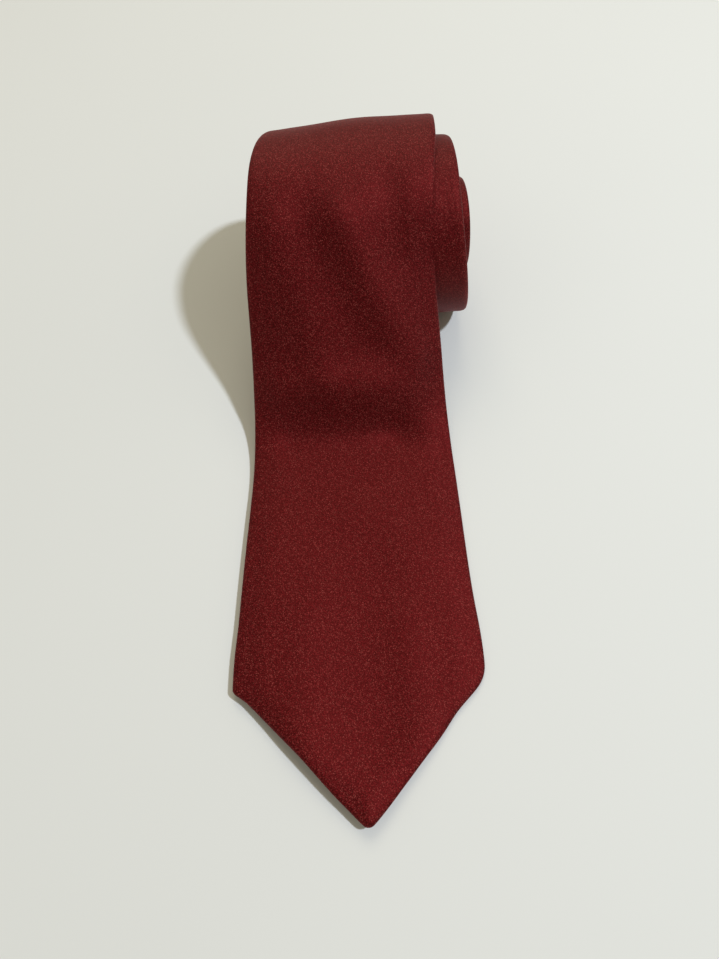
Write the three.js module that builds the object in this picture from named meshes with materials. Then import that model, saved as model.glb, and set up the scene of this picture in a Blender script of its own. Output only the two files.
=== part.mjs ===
// A gentleman's three-piece necktie, rolled up from its narrow end, with the wide blade left free.
// Units are millimetres. +Z is up, +Y runs from the blade's point towards the roll, +X is across the blade.
// The origin is on the table under the middle of the roll's flat underside.
import * as THREE from "three";

// ---- Driving dimensions --------------------------------------------------------------------
const TIE_LENGTH = 1460; // point to point, unrolled
const BLADE_WIDTH = 89; // widest line of the wide blade
const NECK_WIDTH = 33;
const TAIL_WIDTH = 46; // widest line of the narrow end
const TAPER_POWER = 1.58; // the blade narrows faster near its point than near the neck
const NECK_START = 820; // distances along the tie, from the blade's point
const NECK_END = 950;

const CLOTH = 0.4; // shell cloth
const CANVAS = 1.2; // interlining
const LAYER_GAP = 0.2; // between cloth and interlining
const TURN_GAP = 0.5; // between one turn of the roll and the next
const EDGE_GAP = 0.3; // between the ends or edges of two pieces
const LINING = 0.25; // tipping cloth
const THREAD = 0.5; // width of a sewing thread's run
const THREAD_HEIGHT = 0.3;
const THREAD_INSET = 1.5; // from a sewn piece's edge to its stitches

const FREE_LENGTH = 224; // point to the place where the blade meets the roll
const CORE_RADIUS = 9; // middle of the cloth in the innermost turn
const RISE_ANGLE = 44; // slope of the blade between table and roll, in degrees
const BEND_RADIUS = 50; // hollow bend where the blade lifts off the table
const SAG = 0.6; // how far the roll flattens where it rests
const LOOSE_BULGE = 2.5; // slack of the outermost turn at its upper back
const LOOSE_LEAN = 0.065; // and how much more of it there is towards +X, mm per mm
const LOOSE_ANGLE = 45; // where that slack is greatest, in degrees above the back
const LOOSE_SPREAD = 38;
const BELLY = 2.2; // slack at the roll's lower front
const BELLY_WOUND = 270; // and where it is, in degrees of winding
const CREST = 0.9; // slack of the second turn at the upper back
const CREST_WOUND = 450;
const SLACK_SPREAD = 50;
const OUTER_DRIFT = 23.5; // sideways travel of the outermost turn
const DRIFT_FROM = 242; // and where along the tie it starts and ends
const DRIFT_TO = 398;
const DRIFT_BACK = 4.2; // how far the second turn comes back from that
const DRIFT_SETTLED = 458;
const INNER_DRIFT = 8; // sideways travel of all the turns inside
const CORE_STEP = 6; // how much further out one loop of the core stands
const CORE_STEP_FROM = 1095; // where along the tie that loop starts and ends
const CORE_STEP_TO = 1245;
const CORE_STEP_RAMP = 45;
const TURN_STEPS = 20; // facets in one turn

const HEM = 8; // cloth folded over behind the point, square to its edge
const SEAM_SLIT = 0.6; // half of the open line between the two back folds
const SHOULDER = 5; // from the widest line to where the back folds start to close
const FOLDS_MEET = 112; // where the back folds meet, from the blade's point
const TACK_SPACE = 6; // room for a bar tack just short of that place
const TAIL_FOLDS_MEET = 60; // the same, from the tail's point
const TACK = 1.4; // length of a bar tack along the tie

const POINT_HINGE = 64; // distances along the tie of the three bending lines
const UNROLL_ANGLE = 54; // the third one's place on the roll, in degrees above the back
const BLADE_NECK_JOIN = 620;
const NECK_TAIL_JOIN = 960;
const CANVAS_JOIN = 780;
const TAIL_PART = 1230; // the tail's shell is held as two lengths, end to end

const KEEPER_AT = 200; // middle of the keeper loop
const KEEPER_BAND = 14;
const KEEPER_SPAN = 50;
const KEEPER_FOOT = 6;
const KEEPER_RISE = 2.6; // gap for the narrow end
const KEEPER_CLOTH = 0.6;
const KEEPER_STEPS = 10;
const LABEL_AT = 168;
const LABEL_SIZE = { across: 32, along: 16, thick: 0.2 };
const SLACK_LOOP_RADIUS = 2; // spare thread at the end of the slip stitch

const COLOURS = { shell: 0x6e1c1d, lining: 0x5b1519, canvas: 0xd8d0bd, thread: 0x541216, label: 0xe6e0d2 };

// ---- Sizes that follow ----------------------------------------------------------------------
const HALF = CLOTH + LAYER_GAP + CANVAS / 2; // half of the tie's thickness
const PITCH = 2 * HALF + TURN_GAP;
const ROLLED_LENGTH = TIE_LENGTH - FREE_LENGTH;
const ROLL_RADIUS = Math.sqrt(CORE_RADIUS ** 2 + (PITCH * ROLLED_LENGTH) / Math.PI);
const BLADE_POINT = BLADE_WIDTH / 2; // a right-angled point
const TAIL_POINT = TAIL_WIDTH / 2;
const BLUNT = 1.5; // the points are this short of sharp
const rad = THREE.MathUtils.degToRad;
const mix = THREE.MathUtils.lerp;
const smooth = THREE.MathUtils.smoothstep;

// Full width of the tie at a distance along it.
function widthAt(s) {
  if (s < BLADE_POINT) return 2 * s;
  if (s < NECK_START) {
    const rest = 1 - (s - BLADE_POINT) / (NECK_START - BLADE_POINT);
    return NECK_WIDTH + (BLADE_WIDTH - NECK_WIDTH) * rest ** TAPER_POWER;
  }
  if (s < NECK_END) return NECK_WIDTH;
  const tailStart = TIE_LENGTH - TAIL_POINT;
  if (s > tailStart) return 2 * (TIE_LENGTH - s);
  return mix(NECK_WIDTH, TAIL_WIDTH, (s - NECK_END) / (tailStart - NECK_END));
}

// Half of the opening between the two back folds: a kite behind each point, and a slit between them.
function openingAt(s) {
  const fromTail = TIE_LENGTH - s;
  const near = Math.min(s, fromTail);
  const point = s < fromTail ? BLADE_POINT : TAIL_POINT;
  const meet = s < fromTail ? FOLDS_MEET : TAIL_FOLDS_MEET;
  const hem = s < fromTail ? HEM : HEM / 2;
  const shoulder = point + SHOULDER;
  const hemAcross = hem * Math.SQRT2;
  const widest = Math.min(shoulder - hemAcross, point - CLOTH - 2 * EDGE_GAP);
  if (near >= meet) return SEAM_SLIT;
  if (near > shoulder) return mix(SEAM_SLIT, widest, (meet - near) / (meet - shoulder));
  const open = Math.min(near - hemAcross, widest);
  return Math.max(EDGE_GAP, Math.min(open, widthAt(s) / 2 - CLOTH - EDGE_GAP));
}

// Sideways place of the tie's middle line.
function driftAt(s) {
  return (
    OUTER_DRIFT * smooth(s, DRIFT_FROM, DRIFT_TO) -
    DRIFT_BACK * smooth(s, DRIFT_TO, DRIFT_SETTLED) +
    INNER_DRIFT * smooth(s, DRIFT_TO, TIE_LENGTH) +
    CORE_STEP * smooth(s, CORE_STEP_FROM, CORE_STEP_FROM + CORE_STEP_RAMP) -
    CORE_STEP * smooth(s, CORE_STEP_TO - CORE_STEP_RAMP, CORE_STEP_TO)
  );
}

// ---- The path of the tie's middle layer, seen from +X ---------------------------------------
// Each station holds a distance along the tie, a place (y, z), the lean of the cloth across the tie,
// and a normal that points out of the tie's front face.
function radiusAt(wound) {
  const turns = wound / 360;
  return ROLL_RADIUS - PITCH * (turns < 1 ? smooth(turns, 0.33, 1) : turns);
}

const START_ANGLE = 90 + RISE_ANGLE;
const BOTTOM_RADIUS = radiusAt(START_ANGLE + 90);
const CENTRE_HEIGHT = HALF + BOTTOM_RADIUS - SAG;

// Slack of the outermost turn, as a share of its greatest.
function slackAt(wound) {
  const away = (START_ANGLE - wound - LOOSE_ANGLE) / LOOSE_SPREAD;
  return wound < START_ANGLE + 90 ? Math.exp(-away * away) * smooth(wound, 0, 30) : 0;
}

// Slack further along, as a length.
function easeAt(wound) {
  const hill = (middle) => Math.exp(-(((wound - middle) / SLACK_SPREAD) ** 2));
  return BELLY * hill(BELLY_WOUND) + CREST * hill(CREST_WOUND);
}

function rollPoint(wound) {
  const angle = rad(START_ANGLE - wound);
  const radius = radiusAt(wound) + LOOSE_BULGE * slackAt(wound) + easeAt(wound);
  const height = CENTRE_HEIGHT + radius * Math.sin(angle);
  return { y: radius * Math.cos(angle), z: Math.max(height, HALF), lean: LOOSE_LEAN * slackAt(wound) };
}

function makePath() {
  const step = 360 / TURN_STEPS;
  const touch = rollPoint(0);
  const slope = rad(RISE_ANGLE);
  const riseLength = (touch.z - HALF) / Math.sin(slope);
  const bendReach = BEND_RADIUS * Math.tan(slope / 2);
  const liftOff = touch.y - riseLength * Math.cos(slope) - bendReach;
  const bendLength = BEND_RADIUS * slope;
  const flatLength = FREE_LENGTH - bendLength - (riseLength - bendReach);

  const points = [{ y: liftOff - flatLength, z: HALF, lean: 0 }];
  const bendSteps = 6;
  for (let i = 0; i <= bendSteps; i++) {
    const turned = (slope * i) / bendSteps;
    const across = BEND_RADIUS * Math.sin(turned);
    points.push({ y: liftOff + across, z: HALF + BEND_RADIUS * (1 - Math.cos(turned)), lean: 0 });
  }
  // The roll's stations lie at the same angles in every turn, with one facet flat on the table.
  points.push(touch);
  const firstWound = (START_ANGLE + 90 - step / 2) % step;
  let length = 0;
  for (let wound = firstWound; length < ROLLED_LENGTH; wound += step) {
    const last = points.at(-1);
    const next = rollPoint(wound);
    length += Math.hypot(next.y - last.y, next.z - last.z);
    points.push({ ...next, wound });
  }

  let s = 0;
  points.forEach((p, i) => {
    if (i > 0) s += Math.hypot(p.y - points[i - 1].y, p.z - points[i - 1].z);
    p.s = s;
  });
  // A mitred normal keeps each layer parallel to its neighbours.
  const facet = (i) => {
    const [a, b] = [points[i], points[i + 1]];
    return new THREE.Vector2(-(b.z - a.z), b.y - a.y).normalize();
  };
  points.forEach((p, i) => {
    const before = facet(Math.max(i - 1, 0));
    const after = facet(Math.min(i, points.length - 2));
    const middle = before.clone().add(after).normalize();
    p.normal = middle.clone().divideScalar(middle.dot(after));
  });
  return { points, liftOffAt: points[1].s };
}

const PATH = makePath();
const BLADE_HINGE = PATH.liftOffAt;

// The path between its own stations.
function stationAt(s) {
  const { points } = PATH;
  let i = points.findIndex((p) => p.s > s);
  if (i < 1) i = i < 0 ? points.length - 1 : 1;
  const [a, b] = [points[i - 1], points[i]];
  const share = (s - a.s) / (b.s - a.s);
  return {
    s,
    y: mix(a.y, b.y, share),
    z: mix(a.z, b.z, share),
    lean: mix(a.lean, b.lean, share),
    normal: a.normal.clone().lerp(b.normal, share),
  };
}

// Distance along the tie at a wound angle of the outermost turn.
function distanceAtAngle(angle) {
  const wound = START_ANGLE - angle;
  const i = PATH.points.findIndex((p) => p.wound > wound);
  const [a, b] = [PATH.points[i - 1], PATH.points[i]];
  return mix(a.s, b.s, (wound - a.wound) / (b.wound - a.wound));
}
const UNROLL_HINGE = distanceAtAngle(UNROLL_ANGLE);

// Stations from one distance to another, with extra ones where the outline turns.
function stationsBetween(from, to) {
  const turns = [
    HEM * Math.SQRT2 + EDGE_GAP,
    BLADE_POINT,
    BLADE_POINT + SHOULDER,
    FOLDS_MEET,
    TIE_LENGTH - TAIL_FOLDS_MEET,
    TIE_LENGTH - TAIL_POINT - SHOULDER,
    TIE_LENGTH - TAIL_POINT,
    TIE_LENGTH - (HEM / 2) * Math.SQRT2 - EDGE_GAP,
  ];
  const inside = [...PATH.points.map((p) => p.s), ...turns].filter((s) => s > from + 0.2 && s < to - 0.2);
  const sorted = [from, ...inside.sort((a, b) => a - b), to];
  return sorted.filter((s, i) => i === 0 || s - sorted[i - 1] > 0.05).map(stationAt);
}

// A point on the tie: across from its middle line, and out from its middle layer.
function place(station, across, out) {
  const lift = out + station.lean * across;
  return new THREE.Vector3(
    driftAt(station.s) + across,
    station.y + station.normal.x * lift,
    station.z + station.normal.y * lift,
  );
}

// ---- Solids ---------------------------------------------------------------------------------
// A closed body through rings of equally many points, with flat ends.
function loft(rings) {
  const count = rings[0].outline.length;
  const positions = rings.flatMap((ring) => ring.corners.flatMap((p) => p.toArray()));
  const index = [];
  for (let r = 0; r < rings.length - 1; r++) {
    for (let i = 0; i < count; i++) {
      const next = (i + 1) % count;
      const [a, b] = [r * count + i, r * count + next];
      // One rule for every layer's diagonals, so that layers which lie close never cut each other.
      if (rings[r].outline[next].x > rings[r].outline[i].x) index.push(a, a + count, b + count, a, b + count, b);
      else index.push(a, a + count, b, b, a + count, b + count);
    }
  }
  const last = (rings.length - 1) * count;
  for (const [a, b, c] of THREE.ShapeUtils.triangulateShape(rings[0].outline, [])) index.push(a, b, c);
  for (const [a, b, c] of THREE.ShapeUtils.triangulateShape(rings.at(-1).outline, [])) {
    index.push(last + a, last + c, last + b);
  }
  const geometry = new THREE.BufferGeometry();
  geometry.setAttribute("position", new THREE.Float32BufferAttribute(positions, 3));
  geometry.setIndex(index);
  geometry.computeVertexNormals();
  return geometry;
}

// Sweeps an outline in (across, out) along the tie.
function sweep(from, to, outlineAt) {
  return loft(
    stationsBetween(from, to).map((station) => {
      const outline = outlineAt(station.s).map(([across, out]) => new THREE.Vector2(across, out));
      return { outline, corners: outline.map((p) => place(station, p.x, p.y)) };
    }),
  );
}

// A narrow strip along the tie between two depths.
function strip(from, to, half, [low, high], middle = 0) {
  const [left, right] = [middle - half, middle + half];
  return sweep(from, to, () => [[left, low], [right, low], [right, high], [left, high]]);
}

// A wide panel, which has a middle line so that it can lean as its neighbours do.
function panel(from, to, halfWidthAt, [low, high]) {
  return sweep(from, to, (s) => {
    const half = halfWidthAt(s);
    return [[-half, low], [0, low], [half, low], [half, high], [0, high], [-half, high]];
  });
}

// The shell: one cloth folded round the interlining, open down the back.
function shell(from, to) {
  return sweep(from, to, (s) => {
    const outside = widthAt(s) / 2;
    const inside = outside - CLOTH;
    const open = Math.min(openingAt(s), inside - EDGE_GAP);
    const inner = HALF - CLOTH;
    return [
      [inside, inner],
      [inside, -inner],
      [open, -inner],
      [open, -HALF],
      [outside, -HALF],
      [outside, HALF],
      [0, HALF],
      [-outside, HALF],
      [-outside, -HALF],
      [-open, -HALF],
      [-open, -inner],
      [-inside, -inner],
      [-inside, inner],
      [0, inner],
    ];
  });
}

const canvasHalf = (s) => Math.max(widthAt(s) / 2 - CLOTH - EDGE_GAP, EDGE_GAP);
const canvas = (from, to) => panel(from, to, canvasHalf, [-CANVAS / 2, CANVAS / 2]);

// Things sewn into the back's open line lie level with the back folds.
const inBack = (thick) => [-HALF, -HALF + thick];
const tippingHalf = (s) => Math.max(openingAt(s) - EDGE_GAP, EDGE_GAP);
const tipping = (from, to) => panel(from, to, tippingHalf, inBack(LINING));
const stitchRun = (from, to) => strip(from, to, THREAD / 2, inBack(THREAD_HEIGHT));
function barTack(at) {
  const [from, to] = [at - TACK / 2, at + TACK / 2];
  return strip(from, to, Math.min(openingAt(from), openingAt(to)) - EDGE_GAP, inBack(THREAD_HEIGHT));
}

// Thread that closes a join between two lengths of shell cloth, across the front face.
function joinSeam(at) {
  const half = widthAt(at) / 2 - EDGE_GAP;
  return strip(at - THREAD / 2, at + THREAD / 2, half, [HALF - THREAD_HEIGHT, HALF]);
}

// Things sewn onto the back stand just off it.
const onBack = (gap, thick) => [-HALF - gap - thick, -HALF - gap];

// A band across the back, sewn down at both feet, that stands clear of the seam between them.
function keeperLoop() {
  const half = KEEPER_SPAN / 2;
  const side = (level) => {
    const run = [[-half, level]];
    for (let i = 0; i <= KEEPER_STEPS; i++) {
      const share = (2 * i) / KEEPER_STEPS - 1;
      const arch = (KEEPER_RISE * (1 + Math.cos(Math.PI * share))) / 2;
      run.push([(half - KEEPER_FOOT) * share, level - arch]);
    }
    return [...run, [half, level]];
  };
  const [low, high] = onBack(EDGE_GAP, KEEPER_CLOTH);
  const outline = [...side(low), ...side(high).reverse()];
  return sweep(KEEPER_AT - KEEPER_BAND / 2, KEEPER_AT + KEEPER_BAND / 2, () => outline);
}

function keeperTack(side) {
  const middle = (side * (KEEPER_SPAN - KEEPER_FOOT)) / 2;
  const reach = KEEPER_BAND / 2 - THREAD_INSET;
  const depths = onBack(EDGE_GAP + KEEPER_CLOTH + EDGE_GAP, THREAD_HEIGHT);
  return strip(KEEPER_AT - reach, KEEPER_AT + reach, THREAD / 2, depths, middle);
}

function careLabel() {
  const reach = LABEL_SIZE.along / 2;
  return strip(LABEL_AT - reach, LABEL_AT + reach, LABEL_SIZE.across / 2, onBack(EDGE_GAP, LABEL_SIZE.thick));
}

function labelStitch(side) {
  const middle = side * (LABEL_SIZE.across / 2 - THREAD_INSET);
  const reach = LABEL_SIZE.along / 2 - THREAD_INSET;
  const depths = onBack(EDGE_GAP + LABEL_SIZE.thick + EDGE_GAP, THREAD_HEIGHT);
  return strip(LABEL_AT - reach, LABEL_AT + reach, THREAD / 2, depths, middle);
}

// The spare loop of thread that lets the slip stitch slide, in the hollow core.
function slackLoop() {
  const station = stationAt(TIE_LENGTH - TAIL_FOLDS_MEET + 2 * TACK_SPACE);
  const loop = new THREE.TorusGeometry(SLACK_LOOP_RADIUS, THREAD / 2, 6, 14);
  const hollow = SLACK_LOOP_RADIUS ** 2 / CORE_RADIUS; // the cloth curls up round the loop
  const centre = place(station, 0, -HALF - EDGE_GAP - THREAD / 2 - hollow);
  const back = new THREE.Vector3(0, -station.normal.x, -station.normal.y).normalize();
  loop.applyQuaternion(new THREE.Quaternion().setFromUnitVectors(new THREE.Vector3(0, 0, 1), back));
  return loop.translate(centre.x, centre.y, centre.z);
}

// ---- Assembly -------------------------------------------------------------------------------
const finishes = {
  shell: new THREE.MeshStandardMaterial({ color: COLOURS.shell, roughness: 0.8, metalness: 0 }),
  lining: new THREE.MeshStandardMaterial({ color: COLOURS.lining, roughness: 0.6, metalness: 0 }),
  canvas: new THREE.MeshStandardMaterial({ color: COLOURS.canvas, roughness: 0.95, metalness: 0 }),
  thread: new THREE.MeshStandardMaterial({ color: COLOURS.thread, roughness: 0.7, metalness: 0 }),
  label: new THREE.MeshStandardMaterial({ color: COLOURS.label, roughness: 0.6, metalness: 0 }),
};

const tie = new THREE.Group();
function add(name, finish, geometry) {
  const mesh = new THREE.Mesh(geometry, finishes[finish]);
  mesh.name = name;
  tie.add(mesh);
}

// Two pieces that meet at a distance along the tie each stop half of the edge gap short of it.
const before = (s) => s - EDGE_GAP / 2;
const after = (s) => s + EDGE_GAP / 2;
const END = TIE_LENGTH - BLUNT;
const TIPPING_START = HEM * Math.SQRT2 + 2;
const TIPPING_END = FOLDS_MEET - TACK_SPACE;
const STITCH_START = FOLDS_MEET + 2;
const JOIN_SPACE = THREAD / 2 + EDGE_GAP;

// The point, in front of the first bending line.
add("blade_shell_point", "shell", shell(BLUNT, before(POINT_HINGE)));
add("interlining_point", "canvas", canvas(BLUNT + 2, before(POINT_HINGE)));
add("blade_tipping_point", "lining", tipping(TIPPING_START, before(POINT_HINGE)));

// The length of blade that lies flat.
add("blade_shell_flat", "shell", shell(after(POINT_HINGE), before(BLADE_HINGE)));
add("interlining_flat", "canvas", canvas(after(POINT_HINGE), before(BLADE_HINGE)));
add("blade_tipping_flat", "lining", tipping(after(POINT_HINGE), TIPPING_END));
add("blade_bar_tack", "thread", barTack(FOLDS_MEET - TACK_SPACE / 2));
add("slip_stitch_flat", "thread", stitchRun(STITCH_START, before(BLADE_HINGE)));

// The length that rises from the table and goes over the top of the roll.
add("blade_shell_rise", "shell", shell(after(BLADE_HINGE), before(UNROLL_HINGE)));
add("interlining_rise", "canvas", canvas(after(BLADE_HINGE), before(UNROLL_HINGE)));
add("slip_stitch_rise", "thread", stitchRun(after(BLADE_HINGE), before(UNROLL_HINGE)));
add("keeper_loop", "shell", keeperLoop());
add("keeper_tack_left", "thread", keeperTack(-1));
add("keeper_tack_right", "thread", keeperTack(1));
add("care_label", "label", careLabel());
add("label_stitch_left", "thread", labelStitch(-1));
add("label_stitch_right", "thread", labelStitch(1));

// The roll.
add("blade_shell_roll", "shell", shell(after(UNROLL_HINGE), BLADE_NECK_JOIN - JOIN_SPACE));
add("blade_neck_seam", "thread", joinSeam(BLADE_NECK_JOIN));
add("neck_shell", "shell", shell(BLADE_NECK_JOIN + JOIN_SPACE, NECK_TAIL_JOIN - JOIN_SPACE));
add("neck_tail_seam", "thread", joinSeam(NECK_TAIL_JOIN));
add("tail_shell", "shell", shell(NECK_TAIL_JOIN + JOIN_SPACE, before(TAIL_PART)));
add("tail_shell_end", "shell", shell(after(TAIL_PART), END));
add("interlining_roll", "canvas", canvas(after(UNROLL_HINGE), before(CANVAS_JOIN)));
add("interlining_tail", "canvas", canvas(after(CANVAS_JOIN), END - 2));
add("slip_stitch_roll", "thread", stitchRun(after(UNROLL_HINGE), TIE_LENGTH - TAIL_FOLDS_MEET - 2));
add("slip_stitch_slack", "thread", slackLoop());
add("tail_bar_tack", "thread", barTack(TIE_LENGTH - TAIL_FOLDS_MEET + TACK_SPACE / 2));
add("tail_tipping", "lining", tipping(TIE_LENGTH - TAIL_FOLDS_MEET + TACK_SPACE, TIE_LENGTH - HEM));

export default tie;
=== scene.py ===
"""A plain burgundy necktie, rolled up from its narrow end, with its wide blade lying free.

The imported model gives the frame: its bodies, its hinges and its box. This script makes the cloth round it: a
crepe shell folded round a wool interlining, the tipping behind each point, the seams and their stitches, the
keeper loop and the label. Sizes are in millimetres and go to metres where a mesh is made. +Z is up, +Y runs
from the point of the blade to the roll, and +X is across the blade.
"""

import logging
import math
from collections.abc import Callable, Sequence
from dataclasses import dataclass, field
from enum import Enum

import bpy
import numpy as np
from mathutils import Matrix, Vector


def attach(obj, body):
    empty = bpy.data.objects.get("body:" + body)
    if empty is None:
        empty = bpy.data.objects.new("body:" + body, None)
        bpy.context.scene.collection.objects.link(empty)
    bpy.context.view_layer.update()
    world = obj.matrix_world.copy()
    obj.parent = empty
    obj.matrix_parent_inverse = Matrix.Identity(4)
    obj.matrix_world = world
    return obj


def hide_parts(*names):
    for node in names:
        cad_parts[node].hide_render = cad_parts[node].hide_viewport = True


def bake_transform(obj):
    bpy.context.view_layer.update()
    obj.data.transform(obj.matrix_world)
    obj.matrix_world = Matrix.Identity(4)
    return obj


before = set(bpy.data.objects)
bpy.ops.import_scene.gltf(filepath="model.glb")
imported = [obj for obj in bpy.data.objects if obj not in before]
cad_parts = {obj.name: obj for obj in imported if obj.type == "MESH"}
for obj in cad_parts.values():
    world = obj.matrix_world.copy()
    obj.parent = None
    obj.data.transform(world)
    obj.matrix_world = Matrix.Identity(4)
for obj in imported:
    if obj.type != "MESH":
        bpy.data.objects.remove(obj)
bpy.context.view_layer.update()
MM = 0.001
CLOTH_COORDINATES = "cloth"  # the mesh attribute that holds each point's place on the unrolled cloth
log = logging.getLogger("necktie")

Numbers = np.ndarray
Section = tuple[Numbers, Numbers, Numbers]


class Slot(Enum):
    """The record's material slots."""

    SHELL = "shell"
    LINING = "lining"
    CANVAS = "canvas"
    THREAD = "thread"
    LABEL = "label"


class Held(Enum):
    """How a sheet of cloth is held."""

    FOLDED = "folded"
    LAID = "laid"
    STRETCHED = "stretched"


def smooth(x: Numbers | float, low: float, high: float) -> Numbers:
    """Returns a soft step of x, from 0 at low to 1 at high."""
    t = np.clip((np.asarray(x, float) - low) / (high - low), 0, 1)
    return t * t * (3 - 2 * t)


def bump(x: Numbers | float, middle: float, reach: float) -> Numbers:
    """Returns a soft hill of x: 1 at middle, and gone at about twice reach from it."""
    return np.exp(-(((np.asarray(x, float) - middle) / reach) ** 2))


def plateau(x: Numbers | float, rise: tuple[float, float], fall: tuple[float, float]) -> Numbers:
    """Returns a soft plateau of x: it goes from 0 to 1 over rise and back to 0 over fall."""
    return smooth(x, *rise) * (1 - smooth(x, *fall))


def linear(hex_colour: str) -> tuple[float, float, float, float]:
    """Turns an sRGB hex colour such as "6e1c1d" into linear RGBA.

    Args:
        hex_colour: Six hex digits.

    Returns:
        The colour for a shader's socket.
    """
    channels = [int(hex_colour[i : i + 2], 16) / 255 for i in (0, 2, 4)]
    red, green, blue = (c / 12.92 if c <= 0.04045 else ((c + 0.055) / 1.055) ** 2.4 for c in channels)
    return red, green, blue, 1.0


# ---- The tie's outline and its path ---------------------------------------------------------


@dataclass
class Outline:
    """The tie laid out flat: its width along its length, and how its back folds open behind each point."""

    length: float = 1460
    blade: float = 89
    neck: float = 33
    tail: float = 46
    taper_power: float = 1.58
    neck_start: float = 820
    neck_end: float = 950
    hem: float = 8
    slit: float = 0.15
    shoulder: float = 5
    folds_meet: float = 112
    tail_folds_meet: float = 60
    fold_cover: float = 1.5
    tip_radius: float = 2.3
    corner_round: float = 0.5
    worn_corner_round: float = 2.4
    thinnest: float = 0.05

    def tip(self) -> float:
        """Returns how far the rounded point starts behind the sharp one."""
        return self.tip_radius * (math.sqrt(2) - 1)

    def half(self, s: Numbers, corner: float = 0) -> Numbers:
        """Half of the width.

        Args:
            s: Distances along the tie, from the blade's sharp point.
            corner: How softly the blade's corner turns; 0 is sharp.

        Returns:
            Half widths at those distances.
        """
        s = np.asarray(s, float)
        from_tail = self.length - s
        edge = self.blade / 2
        rest = np.clip(1 - (s - edge) / (self.neck_start - edge), 0, 1)
        body = (self.neck + (self.blade - self.neck) * rest**self.taper_power) / 2
        widening = np.clip((s - self.neck_end) / (self.length - self.tail / 2 - self.neck_end), 0, 1)
        body = body + (self.tail - self.neck) / 2 * widening
        centre = self.tip_radius * math.sqrt(2)
        half = body
        for near in (s, from_tail):
            nose = np.sqrt(np.clip(self.tip_radius**2 - (near - centre) ** 2, 0, None))
            sloping = np.where(near < centre - self.tip_radius / math.sqrt(2), nose, near)
            soft = max(corner, 1e-3) if near is s else self.corner_round
            half = -soft * np.logaddexp(-sloping / soft, -half / soft)
        return np.maximum(half, self.thinnest)

    def opening(self, s: float) -> float:
        """Returns half of the gap between the back folds: a kite behind each point, and a slit elsewhere."""
        at_blade = s < self.length / 2
        near = s if at_blade else self.length - s
        edge = (self.blade if at_blade else self.tail) / 2
        meet = self.folds_meet if at_blade else self.tail_folds_meet
        hem = (self.hem if at_blade else self.hem / 2) * math.sqrt(2)
        shoulder = edge + self.shoulder
        if near >= meet:
            return self.slit
        if near > shoulder:
            return self.slit + (shoulder - hem - self.slit) * (meet - near) / (meet - shoulder)
        return max(self.slit, min(near - hem, shoulder - hem, edge - self.fold_cover))


@dataclass
class Layers:
    """The thicknesses that the tie is made of."""

    cloth: float = 0.4
    gap: float = 0.2
    canvas: float = 1.2
    lining: float = 0.25
    thread: float = 0.42
    edge_thinner: float = 0.2
    edge_reach: float = 9
    edge_round: float = 2.6
    thinnest: float = 0.05

    @property
    def half(self) -> float:
        """Half of the tie's thickness."""
        return self.cloth + self.gap + self.canvas / 2

    def thinning(self, across: Numbers, half_width: float) -> Numbers:
        """Returns how much lower the front lies near the tie's edges, where only one fold backs it."""
        inward = half_width - np.abs(across)
        return self.edge_thinner * (1 - smooth(inward, 0, min(self.edge_reach, half_width)))


@dataclass(frozen=True)
class SoftFold:
    """A soft ridge or valley in the cloth, along a line on the unrolled tie. Each end of the line is a place
    along the tie and one across it."""

    start: tuple[float, float]
    end: tuple[float, float]
    reach: float
    height: float

    def lift(self, s: Numbers, across: Numbers) -> Numbers:
        """Returns how far this fold lifts points of the cloth."""
        run, over = self.end[0] - self.start[0], self.end[1] - self.start[1]
        share = ((s - self.start[0]) * run + (across - self.start[1]) * over) / (run * run + over * over)
        share = np.clip(share, 0, 1)
        away = np.hypot(s - self.start[0] - share * run, across - self.start[1] - share * over)
        return self.height * bump(away, 0, self.reach)


FOLDS = (
    SoftFold((226, -1.5), (176, 26), 8, 1.9),
    SoftFold((230, -13), (180, 7), 7.5, -0.9),
    SoftFold((222, -26), (168, -10), 8, 1.3),
    SoftFold((240, 17), (212, 23), 6, -0.8),
    SoftFold((268, 2), (300, 2), 16, 1.4),
    SoftFold((164, -26), (163, 22), 9.5, 2.4),
    SoftFold((143, -24), (144, 16), 8.5, -2.0),
    SoftFold((145, 16), (136, 34), 7, -1.2),
    SoftFold((112, 4), (96, 20), 13, 1.1),
    SoftFold((70, 17), (24, 20), 8, 0.7),
    SoftFold((72, -19), (34, -21), 9, 0.6),
)


@dataclass(frozen=True)
class Hill:
    """A soft rise or dip along the tie."""

    middle: float
    reach: float
    height: float


def hills(s: Numbers | float, group: Sequence[Hill]) -> Numbers:
    """Returns the sum of a group of hills at distances along the tie."""
    return sum(hill.height * bump(s, hill.middle, hill.reach) for hill in group)


WANDER = (Hill(128, 32, 0.9), Hill(208, 24, -1.2), Hill(280, 25, 1.5))
RIGHT_EDGE_DENTS = (
    Hill(12, 7, -0.5),
    Hill(37, 7, 1.9),
    Hill(62, 12, -0.5),
    Hill(258, 12, -1.1),
    Hill(290, 8, 1.0),
)


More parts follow.
